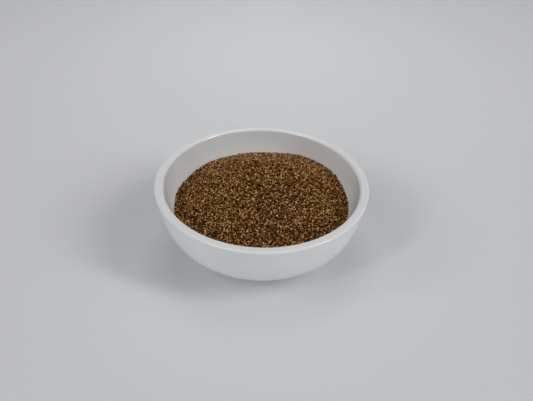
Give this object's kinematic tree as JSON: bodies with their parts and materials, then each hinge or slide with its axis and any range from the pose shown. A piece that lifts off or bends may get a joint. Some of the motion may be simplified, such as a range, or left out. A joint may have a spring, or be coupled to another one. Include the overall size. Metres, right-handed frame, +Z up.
{
  "type": "bowl of celery seeds",
  "caption": "Small round white porcelain bowl on a low foot ring, filled with a rounded heap of dried brown celery seeds that rises a little above the rim.",
  "frame": {"origin": "on the bowl's axis, at the level that its foot stands on", "axes": "+Z up along the bowl's axis; -Y towards the front, where the heap's edge is lowest; +X to the right"},
  "size_m": [0.12, 0.12, 0.0526],
  "materials": {
    "porcelain": "clear gloss glaze over white porcelain, smooth",
    "celery_seed": "dry and matt, brown with paler ribs"
  },
  "bodies": {
    "root": {"bowl": "porcelain", "celery_seeds": "celery_seed"}
  },
  "joints": []
}
